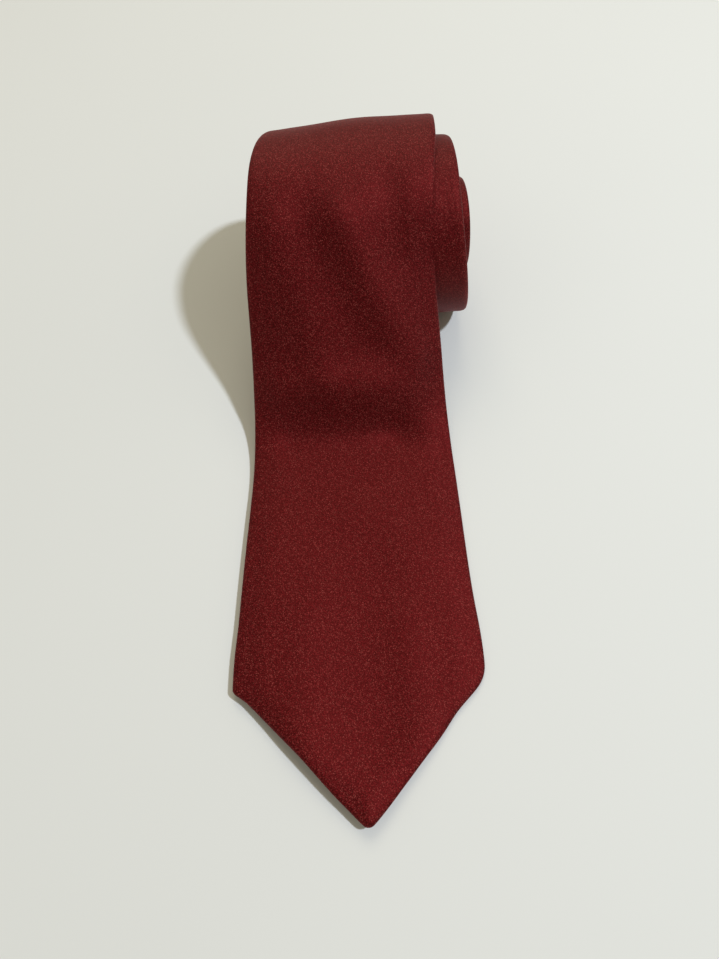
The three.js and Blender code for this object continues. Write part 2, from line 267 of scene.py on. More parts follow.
@dataclass
class Roll:
    """The path of the tie's middle layer, seen from the side, and what the cloth does across it."""

    outline: Outline
    layers: Layers
    free_length: float = 224
    core_radius: float = 9
    turn_gap: float = 0.5
    rise_angle: float = 44
    bend_radius: float = 50
    sag: float = 0.6
    loose_bulge: float = 2.5
    loose_lean: float = 0.065
    loose_angle: float = 45
    loose_spread: float = 38
    belly: float = 2.2
    belly_wound: float = 270
    crest: float = 0.9
    crest_wound: float = 450
    slack_spread: float = 50
    outer_drift: float = 23.2
    drift_from: float = 242
    drift_to: float = 398
    drift_back: float = 4.2
    drift_settled: float = 458
    inner_drift: float = 8
    core_step: float = 5.2
    tip_drift: float = 0.8
    contact: float = 0.25  # how softly the roll meets the table
    ease: float = 5
    step: float = 0.5
    unevenness: float = 0.14
    dome: float = 0.8
    dome_reach: float = 10
    left_arch: float = -2.0
    right_arch: float = -6.2
    left_curl: float = 2.6
    point_curl: float = 3.2
    corner_curl: float = 2.5
    table: dict[str, Numbers] = field(default_factory=dict)

    def __post_init__(self) -> None:
        """Works out the path once, as a table that is read by distance along the tie."""
        self.pitch = 2 * self.layers.half + self.turn_gap
        self.rolled = self.outline.length - self.free_length
        self.radius = math.sqrt(self.core_radius**2 + self.pitch * self.rolled / math.pi)
        self.start_angle = 90 + self.rise_angle
        bottom = float(self.radius_at(np.array(self.start_angle + 90.0)))
        self.centre = self.layers.half + bottom - self.sag
        self.lay_out()

    def radius_at(self, wound: Numbers) -> Numbers:
        """Returns the roll's radius after so many degrees of winding."""
        turns = wound / 360
        return self.radius - self.pitch * np.where(turns < 1, smooth(turns, 0.33, 1), turns)

    def slack_at(self, wound: Numbers) -> Numbers:
        """Returns the slack of the outermost turn as a share of its greatest."""
        hill = bump(self.start_angle - wound, self.loose_angle, self.loose_spread)
        return np.where(wound < self.start_angle + 90, hill * smooth(wound, 0, 30), 0)

    def winding(self) -> tuple[Numbers, Numbers, Numbers]:
        """Returns the wound part: its y, its z and how much it leans across the tie."""
        wound = np.arange(0, 360 * self.rolled / (2 * math.pi * self.core_radius), 1.0)
        angle = np.radians(self.start_angle - wound)
        radius = self.radius_at(wound) + self.loose_bulge * self.slack_at(wound)
        radius += self.belly * bump(wound, self.belly_wound, self.slack_spread)
        radius += self.crest * bump(wound, self.crest_wound, self.slack_spread)
        above = self.centre + radius * np.sin(angle) - self.layers.half
        above = (above + np.sqrt(above**2 + self.contact**2)) / 2
        return radius * np.cos(angle), above + self.layers.half, self.loose_lean * self.slack_at(wound)

    def lay_out(self) -> None:
        """Joins the flat length, the hollow bend, the slope and the roll, and measures along them."""
        slope = math.radians(self.rise_angle)
        y_roll, z_roll, lean_roll = self.winding()
        reach = self.bend_radius * math.tan(slope / 2)
        rise = (z_roll[0] - self.layers.half) / math.sin(slope)
        lift_off = y_roll[0] - rise * math.cos(slope) - reach
        flat = self.free_length - self.bend_radius * slope - (rise - reach)
        turned = np.linspace(0, slope, 30)
        y = np.concatenate([[lift_off - flat], lift_off + self.bend_radius * np.sin(turned), y_roll])
        z_bend = self.layers.half + self.bend_radius * (1 - np.cos(turned))
        z = np.concatenate([[self.layers.half], z_bend, z_roll])
        lean = np.concatenate([np.zeros(len(turned) + 1), lean_roll])
        along = np.concatenate([[0], np.cumsum(np.hypot(np.diff(y), np.diff(z)))])
        s = np.arange(0, self.outline.length + self.step, self.step)
        y, z, lean = (np.interp(s, along, values) for values in (y, z, lean))
        y, z = self.eased(s, y), self.eased(s, z)
        tangent_y, tangent_z = np.gradient(y, s), np.gradient(z, s)
        size = np.hypot(tangent_y, tangent_z)
        self.table = {"s": s, "y": y, "z": z, "lean": lean, "ny": -tangent_z / size, "nz": tangent_y / size}

    def eased(self, s: Numbers, values: Numbers) -> Numbers:
        """Softens the changes of bend in the free length, as cloth does, and leaves the roll alone."""
        reach = int(3 * self.ease / self.step)
        weights = bump(np.arange(-reach, reach + 1) * self.step, 0, self.ease * math.sqrt(2))
        start = 2 * values[0] - values[reach:0:-1]
        padded = np.concatenate([start, values, np.full(reach, values[-1])])
        soft = np.convolve(padded, weights / weights.sum(), "valid")
        share = 1 - smooth(s, 232, 262)
        return values + (soft - values) * share

    def read(self, name: str, s: Numbers | float) -> Numbers:
        """Returns a column of the path's table at distances along the tie."""
        return np.interp(s, self.table["s"], self.table[name])

    def drift(self, s: Numbers | float) -> Numbers:
        """Returns the sideways place of the tie's middle line."""
        out = self.outer_drift * smooth(s, self.drift_from, self.drift_to)
        back = self.drift_back * smooth(s, self.drift_to, self.drift_settled)
        inner = self.inner_drift * smooth(s, self.drift_to, self.outline.length)
        core = self.core_step * plateau(s, (1160, 1190), (1190, 1290))
        return out - back + inner + core + self.tip_drift * (1 - smooth(s, 5, 30)) + hills(s, WANDER)

    def ripple(self, s: Numbers, across: Numbers) -> Numbers:
        """Soft unevenness of the free cloth, away from where it lies flat.

        Args:
            s: Distances along the tie.
            across: Distances from its middle line.

        Returns:
            How far the cloth is lifted off its even path, along its front normal.
        """
        crown = np.sin(across / 12 + s / 26 + 1.0) + 0.7 * np.sin(across / 7.5 - s / 31)
        uneven = self.unevenness * plateau(s, (215, 250), (330, 350)) * (crown + 1)
        folds = sum(fold.lift(s, across) for fold in FOLDS)
        half = self.outline.half(s, self.outline.worn_corner_round)
        reach = np.minimum(half, self.dome_reach)
        dome = self.dome * reach / self.dome_reach * (1 - smooth(np.abs(across) / half, 1 - reach / half, 1))
        left = self.left_arch * smooth(-across, 4, 40) * bump(s, 172, 34)
        right = self.right_arch * smooth(across, 4, 44) * plateau(s, (130, 172), (200, 245))
        return uneven + folds + dome * (1 - smooth(s, 225, 250)) + left + right + self.curl(s, across)

    def curl(self, s: Numbers, across: Numbers) -> Numbers:
        """Returns how far the flat length curls up from the table, at its left edge and its point."""
        left = self.left_curl * smooth(-across, -10, 42) * (1 - smooth(s, 110, 175))
        point = self.point_curl * (1 - smooth(s, 0, 34))
        return left + point + self.corner_curl * bump(np.hypot(s - 22, across + 22), 0, 15)

    def place(self, s: Numbers, across: Numbers, out: Numbers) -> Numbers:
        """Puts points of the unrolled tie in the row frame.

        Args:
            s: Distances along the tie.
            across: Distances from its middle line, towards +X.
            out: Distances from its middle layer, towards its front.

        Returns:
            An array of points in metres, one row each.
        """
        s, across, out = np.broadcast_arrays(np.asarray(s, float), across, out)
        lift = out + self.read("lean", s) * across + self.ripple(s, across)
        x = self.drift(s) + across
        y = self.read("y", s) + self.read("ny", s) * lift
        z = self.read("z", s) + self.read("nz", s) * lift
        return np.stack([x, y, z], axis=-1) * MM

    def point(self, s: float) -> tuple[float, float, float]:
        """Returns the middle of the tie at a distance along it, as a point in metres."""
        x, y, z = self.place(np.array(s), np.array(0.0), np.array(0.0))
        return float(x), float(y), float(z)


# ---- Meshes ---------------------------------------------------------------------------------


@dataclass
class MeshParts:
    """Vertices, faces and cloth coordinates that grow into one mesh."""

    points: list[Numbers] = field(default_factory=list)
    faces: list[list[int]] = field(default_factory=list)
    cloth: list[Numbers] = field(default_factory=list)
    creases: set[tuple[int, int]] = field(default_factory=set)
    count: int = 0

    def add(self, points: Numbers, cloth: Numbers) -> int:
        """Adds points with their cloth coordinates and returns the first one's number."""
        first = self.count
        self.points.append(points.reshape(-1, 3))
        self.cloth.append(cloth.reshape(-1, 3))
        self.count += len(self.points[-1])
        return first

    def crease(self, numbers: Sequence[int]) -> None:
        """Keeps the edges along a run of vertices sharp."""
        self.creases.update((min(a, b), max(a, b)) for a, b in zip(numbers, numbers[1:]))

    def build(self, name: str) -> bpy.types.Object:
        """Makes the Blender object.

        Args:
            name: The piece's name.

        Returns:
            The new object, linked to the scene and smooth shaded.
        """
        mesh = bpy.data.meshes.new(name)
        mesh.from_pydata(np.concatenate(self.points).tolist(), [], self.faces)
        mesh.polygons.foreach_set("use_smooth", [True] * len(mesh.polygons))
        attribute = mesh.attributes.new(CLOTH_COORDINATES, "FLOAT_VECTOR", "POINT")
        attribute.data.foreach_set("vector", np.concatenate(self.cloth).astype(np.float32).ravel())
        for edge in mesh.edges:
            if tuple(sorted(edge.vertices)) in self.creases:
                edge.use_edge_sharp = True
        mesh.update()
        piece = bpy.data.objects.new(name, mesh)
        bpy.context.collection.objects.link(piece)
        return piece


def thick_sheet(parts: MeshParts, outer: Numbers, inner: Numbers, cloth: Numbers) -> None:
    """Adds a closed sheet between two grids of points.

    Args:
        parts: The mesh to add to.
        outer: Points of the side whose normal points out, as rows along the tie and columns across.
        inner: The other side's points, in the same order.
        cloth: Cloth coordinates of the grid.
    """
    rows, columns = outer.shape[:2]
    top = parts.add(outer, cloth)
    under = parts.add(inner, cloth)
    lift = under - top

    def at(row: int, column: int) -> int:
        return top + row * columns + column

    for r in range(rows - 1):
        for c in range(columns - 1):
            a, b, d, e = at(r, c), at(r, c + 1), at(r + 1, c + 1), at(r + 1, c)
            parts.faces.append([a, b, d, e])
            parts.faces.append([a + lift, e + lift, d + lift, b + lift])
    rim = [at(0, c) for c in range(columns)] + [at(r, columns - 1) for r in range(1, rows)]
    rim += [at(rows - 1, c) for c in range(columns - 2, -1, -1)] + [at(r, 0) for r in range(rows - 2, 0, -1)]
    for a, b in zip(rim, rim[1:] + rim[:1]):
        parts.faces.append([b, a, a + lift, b + lift])
    parts.crease(rim + rim[:1])
    parts.crease([v + lift for v in rim + rim[:1]])


def tube(parts: MeshParts, path: Numbers, radius: float, sides: int = 8) -> None:
    """Adds a round thread along a path, with domed ends.

    Args:
        parts: The mesh to add to.
        path: Points in metres.
        radius: The thread's radius in millimetres.
        sides: Corners of its section.
    """
    tangents = np.gradient(path, axis=0)
    tangents /= np.linalg.norm(tangents, axis=1, keepdims=True)
    guide = np.array([0.0, 0.0, 1.0]) if abs(tangents[0][2]) < 0.8 else np.array([0.0, 1.0, 0.0])
    turns = np.linspace(0, 2 * math.pi, sides, endpoint=False)
    along = np.concatenate([[0], np.cumsum(np.linalg.norm(np.diff(path, axis=0), axis=1))])
    shrink = np.clip(np.minimum(along, along[-1] - along) / (radius * MM), 0, 1)
    radii = radius * MM * np.sqrt(1 - (1 - shrink) ** 2 * 0.9)
    rings = []
    for point, tangent, size in zip(path, tangents, radii):
        side = np.cross(tangent, guide)
        side /= np.linalg.norm(side)
        over = np.cross(side, tangent)
        rings.append(point + size * (np.outer(np.cos(turns), side) + np.outer(np.sin(turns), over)))
    around = np.tile(turns * radius * MM, (len(path), 1))
    lengthwise = np.repeat(along[:, None], sides, axis=1)
    first = parts.add(np.array(rings), np.stack([around, lengthwise, np.zeros_like(around)], axis=-1))
    for r in range(len(path) - 1):
        for c in range(sides):
            a, b = first + r * sides + c, first + r * sides + (c + 1) % sides
            parts.faces.append([a, a + sides, b + sides, b])
    last = first + (len(path) - 1) * sides
    parts.faces.append([first + c for c in range(sides)])
    parts.faces.append([last + c for c in reversed(range(sides))])


@dataclass
class Strip:
    """One length of a layer of the tie, swept along the roll's path. Its fine ends are further distances that
    get a section."""

    roll: Roll
    start: float
    end: float
    spacing: float = 2.0
    fine_ends: tuple[float, ...] = ()

    def stations(self) -> Numbers:
        """Returns the distances along the tie of this length's sections."""
        count = max(2, round((self.end - self.start) / self.spacing) + 1)
        even = np.linspace(self.start, self.end, count)
        extra = [x for x in self.fine_ends if self.start < x < self.end]
        return np.unique(np.round(np.concatenate([even, extra]), 4))

    def build(self, name: str, section: Callable[[float], Section]) -> bpy.types.Object:
        """Sweeps a section along this length.

        Args:
            name: The piece's name.
            section: Gives the section's middle line, its outward normals and its half thicknesses at a
                distance along the tie, in millimetres.

        Returns:
            The new object.
        """
        outer, inner, cloth = [], [], []
        for s in self.stations():
            line, normals, halves = section(float(s))
            upper = line + normals * halves[:, None]
            lower = line - normals * halves[:, None]
            outer.append(self.roll.place(s, upper[:, 0], upper[:, 1]))
            inner.append(self.roll.place(s, lower[:, 0], lower[:, 1]))
            run = np.concatenate([[0], np.cumsum(np.hypot(*np.diff(line, axis=0).T))])
            run -= run[len(run) // 2]
            cloth.append(np.stack([run, np.full(len(run), s), np.zeros(len(run))], axis=1) * MM)
        parts = MeshParts()
        thick_sheet(parts, np.array(outer), np.array(inner), np.array(cloth))
        return parts.build(name)


# ---- Finishes -------------------------------------------------------------------------------

WAVE_BAND = 2 * math.pi / 20  # the wave texture's scale for one band to the metre


class Graph:
    """A material's nodes, with the place of each point on the unrolled cloth."""

    def __init__(self, name: str) -> None:
        """Starts a material with that name."""
        self.material = bpy.data.materials.new(name)
        self.material.use_nodes = True
        self.tree = self.material.node_tree
        self.tree.nodes.clear()
        cloth = self.add("Attribute", attribute_name=CLOTH_COORDINATES, attribute_type="GEOMETRY")
        self.place = cloth.outputs["Vector"]

    def add(self, kind: str, inputs: dict | None = None, **settings: object) -> bpy.types.Node:
        """Adds a node.

        Args:
            kind: The node's type, without the ShaderNode prefix.
            inputs: What its inputs get, by name or number: a value, a socket or a node's first output.
            settings: Values for its own properties.

        Returns:
            The new node.
        """
        node = self.tree.nodes.new("ShaderNode" + kind)
        for key, value in settings.items():
            setattr(node, key, value)
        for key, value in (inputs or {}).items():
            if isinstance(value, bpy.types.Node):
                value = value.outputs[0]
            if isinstance(value, bpy.types.NodeSocket):
                self.tree.links.new(value, node.inputs[key])
            else:
                node.inputs[key].default_value = value
        return node


@dataclass(frozen=True)
class MicrofibreCrepe:
    """Woven polyester microfibre crepe, piece dyed burgundy. The fine uneven yarns give the eye a soft grain
    with dark specks; the pale specks are painted glints off single yarns, and the peached surface gives a low
    red sheen at grazing angles."""

    name: str = "burgundy_microfibre_crepe"
    deep: str = "140201"
    ground: str = "370709"
    raised: str = "601618"
    # colour of the pale specks: a painted glint off single yarns
    painted_glint: str = "a5524a"
    sheen: str = "b02420"
    lustre: str = "ff5450"
    grain_mm: float = 0.42  # a real yarn is 0.15 mm; drawn coarser so that it shows
    coarse_grains: float = 3
    glint_grains: float = 1.25
    glint_reach: float = 0.45
    glint_rarity: float = 1.2
    glint_strength: float = 0.9
    cloud_mm: float = 26
    cloud_shade: float = 0.24
    relief_mm: float = 0.12
    roughness: float = 0.58

    def material(self) -> bpy.types.Material:
        """Returns the material."""
        g = Graph(self.name)
        grain_size = self.grain_mm * MM
        bias = g.add("Mapping", {"Vector": g.place, "Rotation": (0, 0, math.radians(45))})
        grain = g.add("TexNoise", {"Vector": bias, "Scale": 1 / grain_size, "Detail": 2.0, "Roughness": 0.6})
        coarse_size = self.coarse_grains * grain_size
        coarse = g.add("TexNoise", {"Vector": bias, "Scale": 1 / coarse_size, "Detail": 2.0})
        cloud = g.add("TexNoise", {"Vector": g.place, "Scale": 1 / (self.cloud_mm * MM), "Detail": 2.0})
        # Pale specks at scattered cells, mixed into the base colour: painted glints off single yarns
        cell = g.add("TexVoronoi", {"Vector": bias, "Scale": 1 / (self.glint_grains * grain_size)})
        chance = g.add("SeparateColor", {"Color": cell.outputs["Color"]})
        rare = g.add("Math", {0: chance, 1: self.glint_rarity}, operation="POWER")
        away = g.add("Math", {0: cell.outputs["Distance"], 1: self.glint_reach}, operation="DIVIDE")
        near = g.add("Math", {0: 1.0, 1: away}, operation="SUBTRACT", use_clamp=True)
        glint_spots = g.add("Math", {0: rare, 1: near}, operation="MULTIPLY")
        strength = g.add("Math", {0: glint_spots, 1: self.glint_strength}, operation="MULTIPLY")
        fine = g.add("Math", {0: grain, 1: 0.8}, operation="MULTIPLY")
        height = g.add("Math", {0: coarse, 1: 0.2, 2: fine}, operation="MULTIPLY_ADD")
        ramp = g.add("ValToRGB", {"Fac": height})
        ramp.color_ramp.elements.new(0.5)
        stops = (0.41, self.deep), (0.5, self.ground), (0.6, self.raised)
        for stop, (position, colour) in zip(ramp.color_ramp.elements, stops):
            stop.position, stop.color = position, linear(colour)
        glinted = g.add("Mix", {"Factor": strength, 6: ramp, 7: linear(self.painted_glint)}, data_type="RGBA")
        shades = {0: cloud, 1: self.cloud_shade, 2: 1 - self.cloud_shade / 2}
        shade = g.add("Math", shades, operation="MULTIPLY_ADD")
        grey = g.add("CombineColor", {0: shade, 1: shade, 2: shade})
        colours = {"Factor": 1.0, 6: glinted.outputs[2], 7: grey}
        clouded = g.add("Mix", colours, data_type="RGBA", blend_type="MULTIPLY")
        relief = g.add("Bump", {"Height": height, "Strength": 0.7, "Distance": self.relief_mm * MM})
        rough = g.add("Math", {0: grain, 1: 0.12, 2: self.roughness - 0.06}, operation="MULTIPLY_ADD")
        cloth = {
            "Base Color": clouded.outputs[2],
            "Roughness": rough,
            "Normal": relief,
            "IOR": 1.5,
            "Specular IOR Level": 0.64,
            "Specular Tint": linear(self.lustre),
            "Sheen Weight": 0.3,
            "Sheen Roughness": 0.5,
            "Sheen Tint": linear(self.sheen),
        }
        g.add("OutputMaterial", {"Surface": g.add("BsdfPrincipled", cloth)})
        return g.material


@dataclass(frozen=True)
class PatternedFinish:
    """What the plainer finishes share: one pattern, which gives the relief and runs from a deep colour to a
    bright one."""

    name: str
    deep: str
    bright: str
    roughness: float
    bump: float
    relief_mm: float
    stops: tuple[float, float] = (0.0, 1.0)
    ior: float = 1.5

    def pattern(self, g: Graph) -> bpy.types.NodeSocket:
        """Returns the pattern's strength, from 0 to 1."""
        raise NotImplementedError

    def shine(self) -> dict[str, object]:
        """Returns the shader's values for how the finish shines."""
        return {}

    def material(self) -> bpy.types.Material:
        """Returns the material."""
        g = Graph(self.name)
        pattern = self.pattern(g)
        ramp = g.add("ValToRGB", {"Fac": pattern})
        for stop, position, colour in zip(ramp.color_ramp.elements, self.stops, (self.deep, self.bright)):
            stop.position, stop.color = position, linear(colour)
        relief = g.add("Bump", {"Height": pattern, "Strength": self.bump, "Distance": self.relief_mm * MM})
        finish = {"Base Color": ramp, "Roughness": self.roughness, "Normal": relief, "IOR": self.ior}
        g.add("OutputMaterial", {"Surface": g.add("BsdfPrincipled", finish | self.shine())})
        return g.material


@dataclass(frozen=True)
class SatinLining(PatternedFinish):
    """Woven acetate satin for the tipping. Its long floats run along the tie and give the eye a smooth,
    streaky shine."""

    name: str = "burgundy_satin_lining"
    deep: str = "3d0c12"
    bright: str = "5e161d"
    roughness: float = 0.42
    bump: float = 0.4
    relief_mm: float = 0.02
    stops: tuple[float, float] = (0.3, 0.7)
    ior: float = 1.48
    float_mm: float = 0.5
    lustre: str = "ff8a86"

    def pattern(self, g: Graph) -> bpy.types.NodeSocket:
        """Returns streaks that run along the tie."""
        stretched = g.add("Mapping", {"Vector": g.place, "Scale": (1, 0.08, 1)})
        streaks = {"Vector": stretched, "Scale": 1 / (self.float_mm * MM), "Detail": 3.0}
        return g.add("TexNoise", streaks).outputs[0]

    def shine(self) -> dict[str, object]:
        """Returns the satin's tinted gloss."""
        return {"Specular IOR Level": 0.4, "Specular Tint": linear(self.lustre)}


@dataclass(frozen=True)
class BrushedCanvas(PatternedFinish):
    """Woven wool and polyester interlining, brushed on both sides. Loose fibres give the eye a matt, felted
    cream."""

    name: str = "brushed_wool_interlining"
    deep: str = "b3a88f"
    bright: str = "ded5c1"
    roughness: float = 0.95
    bump: float = 0.8
    relief_mm: float = 0.15
    stops: tuple[float, float] = (0.35, 0.65)
    fibre_mm: float = 0.6

    def pattern(self, g: Graph) -> bpy.types.NodeSocket:
        """Returns the tangle of the brushed fibres."""
        fibres = {"Vector": g.place, "Scale": 1 / (self.fibre_mm * MM), "Detail": 5.0, "Distortion": 1.6}
        return g.add("TexNoise", fibres).outputs[0]

    def shine(self) -> dict[str, object]:
        """Returns the fuzz of the loose fibres."""
        return {"Specular IOR Level": 0.2, "Sheen Weight": 0.4}


@dataclass(frozen=True)
class SpunThread(PatternedFinish):
    """Spun polyester sewing thread. Its plies give the eye fine slanting stripes."""

    name: str = "burgundy_sewing_thread"
    deep: str = "420f12"
    bright: str = "7a2426"
    roughness: float = 0.6
    bump: float = 0.8
    relief_mm: float = 0.06
    ply_mm: float = 0.5

    def pattern(self, g: Graph) -> bpy.types.NodeSocket:
        """Returns the slanting plies."""
        slanted = g.add("Mapping", {"Vector": g.place, "Rotation": (0, 0, math.radians(50))})
        plies = {"Vector": slanted, "Scale": WAVE_BAND / (self.ply_mm * MM), "Distortion": 0.6}
        return g.add("TexWave", plies).outputs[1]

    def shine(self) -> dict[str, object]:
        """Returns the fuzz of the spun fibres."""
        return {"Sheen Weight": 0.3}


@dataclass(frozen=True)
class SatinLabel(PatternedFinish):
    """Woven polyester satin tape, undyed and left blank. Its weft gives the eye a fine cross rib with a soft
    shine."""

    name: str = "blank_satin_label"
    deep: str = "c9c1b0"
    bright: str = "ece6d8"
    roughness: float = 0.5
    bump: float = 0.5
    relief_mm: float = 0.03
    weft_mm: float = 0.4

    def pattern(self, g: Graph) -> bpy.types.NodeSocket:
        """Returns the cross rib."""
        ribs = {"Vector": g.place, "Scale": WAVE_BAND / (self.weft_mm * MM), "Distortion": 0.4}
        return g.add("TexWave", ribs, bands_direction="Y").outputs[1]


@dataclass(frozen=True)
class PaintedBoard:
    """Smooth board with matt off-white emulsion, for the studio floor. Faint patches of paint give the eye a
    surface that isn't quite even."""

    name: str = "pale_matt_board"
    ground: str = "dfded7"
    patch_mm: float = 180
    patch_shade: float = 0.03
    roughness: float = 0.9

    def material(self) -> bpy.types.Material:
        """Returns the material."""
        g = Graph(self.name)
        patch = g.add("TexNoise", {"Vector": g.place, "Scale": 1 / (self.patch_mm * MM), "Detail": 2.0})
        shades = {0: patch, 1: self.patch_shade, 2: 1 - self.patch_shade / 2}
        shade = g.add("Math", shades, operation="MULTIPLY_ADD")
        grey = g.add("CombineColor", {0: shade, 1: shade, 2: shade})
        colours = {"Factor": 1.0, 6: linear(self.ground), 7: grey}
        patched = g.add("Mix", colours, data_type="RGBA", blend_type="MULTIPLY")
        paint = {"Base Color": patched.outputs[2], "Roughness": self.roughness, "Specular IOR Level": 0.2}
        g.add("OutputMaterial", {"Surface": g.add("BsdfPrincipled", paint)})
        return g.material


# ---- Sub-assemblies -------------------------------------------------------------------------


@dataclass(frozen=True)
class Stretch:
    """A stretch of the tie and the bodies that it goes with."""

    start: float
    end: float
    body: str
    other: str = ""
    bend: tuple[float, float] = (0, 0)

    def attach(self, piece: bpy.types.Object, roll: Roll) -> None:
        """Makes a piece ride on this stretch's body; a piece that spans two bodies only has its place baked
        into its mesh.
        """
        if self.other:
            low, high = (roll.point(s) for s in self.bend)
            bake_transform(piece)
        else:
            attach(piece, self.body)


# Each stretch ends where the cloth on both sides of the cut goes wholly with one body.
POINT = Stretch(0, 86, "point", "flat", bend=(34, 67))
LIFT = Stretch(86, 190, "flat", "rise", bend=(89, 126))
CROWN = Stretch(190, 310, "rise", "roll", bend=(232, 278))
ROLLED = Stretch(310, 1460, "roll")
SLOPE = Stretch(126, 232, "rise")
BLADE_NECK_JOIN = 620
NECK_TAIL_JOIN = 960
CANVAS_JOIN = 780


def outward(line: Numbers) -> Numbers:
    """Returns the unit normals of a section's middle line, on the left of its run."""
    tangent = np.gradient(line, axis=0)
    tangent /= np.linalg.norm(tangent, axis=1, keepdims=True) + 1e-9
    return np.stack([-tangent[:, 1], tangent[:, 0]], 1)


@dataclass
class Piecework:
    """What every sub-assembly needs: the path, the finishes and the layers that the tie is made of."""

    roll: Roll
    finishes: dict[Slot, bpy.types.Material]

    @property
    def outline(self) -> Outline:
        """The tie's flat outline."""
        return self.roll.outline

    @property
    def layers(self) -> Layers:
        """The tie's layers."""
        return self.roll.layers

    def dress(self, piece: bpy.types.Object, slot: Slot, nodes: Sequence[str]) -> bpy.types.Object:
        """Gives a piece its finish and says which CAD nodes it stands for.

        Args:
            piece: The new object.
            slot: Its material slot.
            nodes: The CAD nodes that it replaces.

        Returns:
            The same object.
        """
        piece.data.materials.append(self.finishes[slot])
        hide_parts(*nodes)
        log.info("%s: %d vertices, stands for %s", piece.name, len(piece.data.vertices), ", ".join(nodes))
        return piece


@dataclass
class ClothLayer(Piecework):
    """A layer of cloth that runs along the tie and is made in lengths."""

    slot: Slot = Slot.SHELL
    held: Held = Held.FOLDED
    spacing: float = 1.5
    rolled_spacing: float = 2.0
    fine_ends: tuple[float, ...] = ()
    width_samples: int = 400

    def section(self, s: float) -> Section:
        """Gives the layer's middle line, outward normals and half thicknesses at a distance along the tie."""
        raise NotImplementedError

    def flat_width(self, s: float) -> float:
        """Returns how wide the unfolded cloth is at a distance along the tie."""
        raise NotImplementedError

    def length(self, name: str, start: float, end: float, stretch: Stretch, nodes: Sequence[str]) -> None:
        """Args:
            name: The piece's name.
            start: Where it starts along the tie.
            end: Where it ends.
            stretch: The stretch of the tie that it goes with.
            nodes: The CAD nodes that it stands for.
        """
        spacing = self.rolled_spacing if stretch is ROLLED else self.spacing
        piece = Strip(self.roll, start, end, spacing, self.fine_ends).build(name, self.section)
        self.dress(piece, self.slot, nodes)
        s = np.linspace(start, end, self.width_samples)
        width = np.array([self.flat_width(float(x)) for x in s])
        stretch.attach(piece, self.roll)


@dataclass
class Shell(ClothLayer):
    """The crepe shell, folded round the interlining. The blade is in four lengths, and the neck and the tail
    are one length each."""

    join_gap: float = 0.5
    tip_closes_in: float = 2.2
    fold_share: float = 0.6
    least: float = 0.02
    left_flare: Hill = Hill(56, 9, 0.4)
    left_cut: float = 1.9  # the hem is pressed a little further in on this side
    right_cut: float = 1.0
    arc_steps: int = 13
    back_points: int = 8
    front_points: int = 43

    def __post_init__(self) -> None:
        """Asks for more sections at the points and at the blade's and the tail's corners."""
        tip, corner = self.outline.tip(), self.outline.blade / 2
        near = [tip + x for x in (0.15, 0.4, 0.9)] + [corner + x for x in (-1, 0, 1)]
        self.fine_ends = (*near, *(self.outline.length - x for x in near))

    def section(self, s: float) -> Section:
        """Gives the shell's section: back fold, edge, front, edge, back fold.

        Args:
            s: Distance along the tie.

        Returns:
            Middle line, outward normals and half thicknesses.
        """
        layers, outline = self.layers, self.outline
        left = float(outline.half(s, outline.corner_round)) + self.flare(s)
        right = float(outline.half(s, outline.worn_corner_round)) - self.dent(s)
        from_tip = max(min(s, outline.length - s) - outline.tip(), self.least)
        closing = math.sqrt(1 - (1 - min(from_tip / self.tip_closes_in, 1)) ** 2)
        level = layers.half - layers.cloth / 2
        middle = -layers.edge_thinner / 2
        fold = min(layers.edge_round, self.fold_share * min(left, right))
        left, right = left - fold, right - fold
        slit = max(min(outline.opening(s), min(left, right) - layers.thinnest), self.least)
        arc = np.radians(np.linspace(-90, 90, self.arc_steps))[1:-1]

        def wing(inner: float, side: int) -> Numbers:
            """Returns one back fold and the edge that it turns at, from the slit outwards."""
            back = np.linspace(slit, inner, self.back_points)
            edge = np.stack([inner + fold * np.cos(arc), middle + (level + middle) * np.sin(arc)], 1)
            return np.concatenate([np.stack([back, np.full(len(back), -level)], 1), edge]) * (side, 1)

        across = np.linspace(-left, right, self.front_points)
        inward = np.where(across < 0, across + left, right - across)
        thinner = layers.edge_thinner * (1 - smooth(inward, 0, min(layers.edge_reach, left + 0.1)))
        line = np.concatenate([wing(left, -1), np.stack([across, level - thinner], 1), wing(right, 1)[::-1]])
        line[:, 1] = (line[:, 1] - middle) * closing + middle
        return line, outward(line), np.full(len(line), layers.cloth / 2 * closing)

    def flare(self, s: float) -> float:
        """Returns how far the blade's left edge stands out near its corner."""
        return float(hills(s, [self.left_flare]) - self.left_cut * plateau(s, (8, 26), (41, 46)))

    def dent(self, s: float) -> float:
        """Returns how far the right edge is pressed in, below the blade's corner and at the roll's crown."""
        return float(self.right_cut * plateau(s, (2, 14), (42, 52)) + hills(s, RIGHT_EDGE_DENTS))

    def flat_width(self, s: float) -> float:
        """Returns the width of the front and both back folds."""
        half = float(self.outline.half(s, self.outline.corner_round))
        return 4 * half - 2 * min(self.outline.opening(s), half)

    def build(self) -> None:
        """Makes every length of the shell."""
        first = self.outline.tip() + self.least
        last = self.outline.length - first
        gap = self.join_gap / 2
        self.length("shell_point", first, POINT.end, POINT, ["blade_shell_point", "blade_shell_flat"])
        self.length("shell_lift", LIFT.start, LIFT.end, LIFT, ["blade_shell_flat", "blade_shell_rise"])
        self.length("shell_crown", CROWN.start, CROWN.end, CROWN, ["blade_shell_rise"])
        self.length("shell_turns", CROWN.end, BLADE_NECK_JOIN - gap, ROLLED, ["blade_shell_roll"])
        self.length("shell_neck", BLADE_NECK_JOIN + gap, NECK_TAIL_JOIN - gap, ROLLED, ["neck_shell"])
        self.length("shell_tail", NECK_TAIL_JOIN + gap, last, ROLLED, ["tail_shell", "tail_shell_end"])


